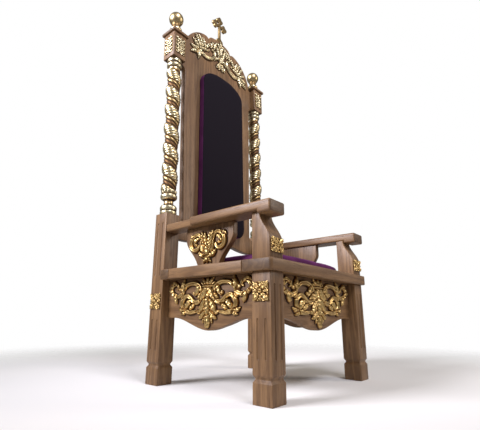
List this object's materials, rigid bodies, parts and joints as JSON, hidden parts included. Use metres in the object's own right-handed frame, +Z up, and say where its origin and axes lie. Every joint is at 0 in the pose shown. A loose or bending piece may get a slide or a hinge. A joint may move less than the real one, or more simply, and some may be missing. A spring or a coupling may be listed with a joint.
{
  "type": "bishop chair",
  "caption": "Tall carved oak armchair with square fluted legs, gilded scroll aprons, low cushion, and a high padded back between twisted columns with a carved crest and cross.",
  "frame": {"origin": "on the floor, under the middle of the outer box", "axes": "+Z up, the chair faces -Y, +X to the right of a person who faces the chair"},
  "size_m": [0.8196, 0.7219, 2.1812],
  "materials": {
    "oak": "waxed oak with open grain, satin",
    "gilding": "gold leaf over carved and turned wood, reddish ground in the hollows",
    "purple_velvet": "purple pile velvet over a low foam cushion",
    "black_velvet": "near-black purple pile velvet over a firm pad"
  },
  "bodies": {
    "root": {"apron_front": "oak", "apron_left": "oak", "apron_ornament_front": "gilding", "apron_ornament_left": "gilding", "apron_ornament_right": "gilding", "apron_rear": "oak", "apron_right": "oak", "arm_support_left": "oak", "arm_support_right": "oak", "armrest_left": "oak", "armrest_right": "oak", "back_pad": "black_velvet", "back_panel": "oak", "block_left": "oak", "block_right": "oak", "cap_left": "oak", "cap_right": "oak", "column_left": "gilding", "column_right": "gilding", "crest_ornament": "gilding", "cross": "gilding", "deck_front": "oak", "deck_left": "oak", "deck_rear": "oak", "deck_right": "oak", "finial_left": "gilding", "finial_right": "gilding", "front_leg_left": "oak", "front_leg_right": "oak", "rear_post_left": "oak", "rear_post_right": "oak", "rosette_leg_left": "gilding", "rosette_leg_right": "gilding", "rosette_post_left": "gilding", "rosette_post_right": "gilding", "rosette_support_left": "gilding", "rosette_support_right": "gilding", "seat_cushion": "purple_velvet", "seat_panel": "oak", "splat_left": "oak", "splat_ornament_left": "gilding", "splat_ornament_right": "gilding", "splat_right": "oak", "tile_front_left": "gilding", "tile_front_right": "gilding", "tile_side_left": "gilding", "tile_side_right": "gilding"}
  },
  "joints": []
}
